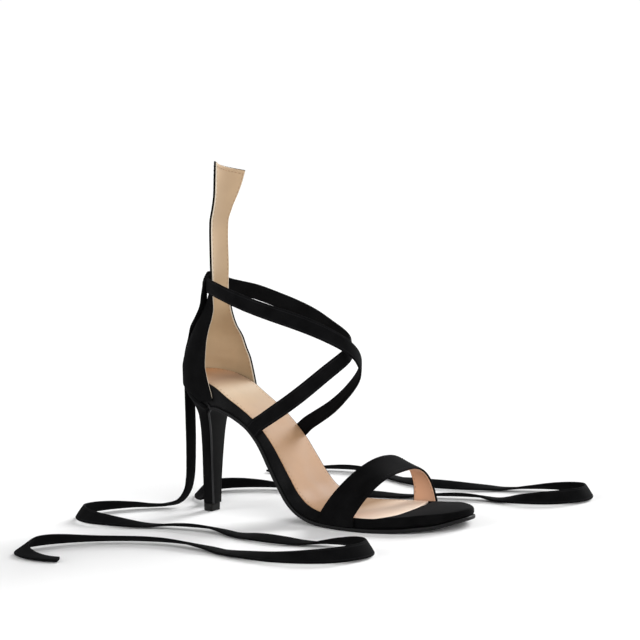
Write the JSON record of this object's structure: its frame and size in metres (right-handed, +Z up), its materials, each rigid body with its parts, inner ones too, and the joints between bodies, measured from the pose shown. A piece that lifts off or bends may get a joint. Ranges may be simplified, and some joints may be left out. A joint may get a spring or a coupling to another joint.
{
  "type": "lace up heeled sandal",
  "caption": "Open-toed sandal on a slender high heel, with a wide toe strap, a tall back tab and ties that cross over the instep and trail loose.",
  "frame": {"origin": "centre of the forefoot's flat tread, on the floor", "axes": "+X to the toe, +Y to the inner (medial) side of the foot, +Z up"},
  "size_m": [0.2896, 0.3948, 0.2355],
  "materials": {
    "outsole_rubber": "matt black unit sole with a faint sheen on its edge",
    "black_suede": "black faux suede, short dry nap",
    "tan_lining": "smooth tan lining leather, satin",
    "smooth_black": "smooth black facing, satin",
    "tip_rubber": "hard black top lift",
    "tie_suede": "black faux suede tape, short dry nap"
  },
  "bodies": {
    "root": {"outsole": "outsole_rubber", "footbed_board": "black_suede", "insole": "tan_lining", "heel": "black_suede", "heel_breast": "smooth_black", "heel_tip": "tip_rubber", "counter": "black_suede", "vamp_strap": "black_suede", "instep_straps": "tie_suede", "tie_tail_lateral": "tie_suede", "tie_tail_medial": "tie_suede"}
  },
  "joints": []
}
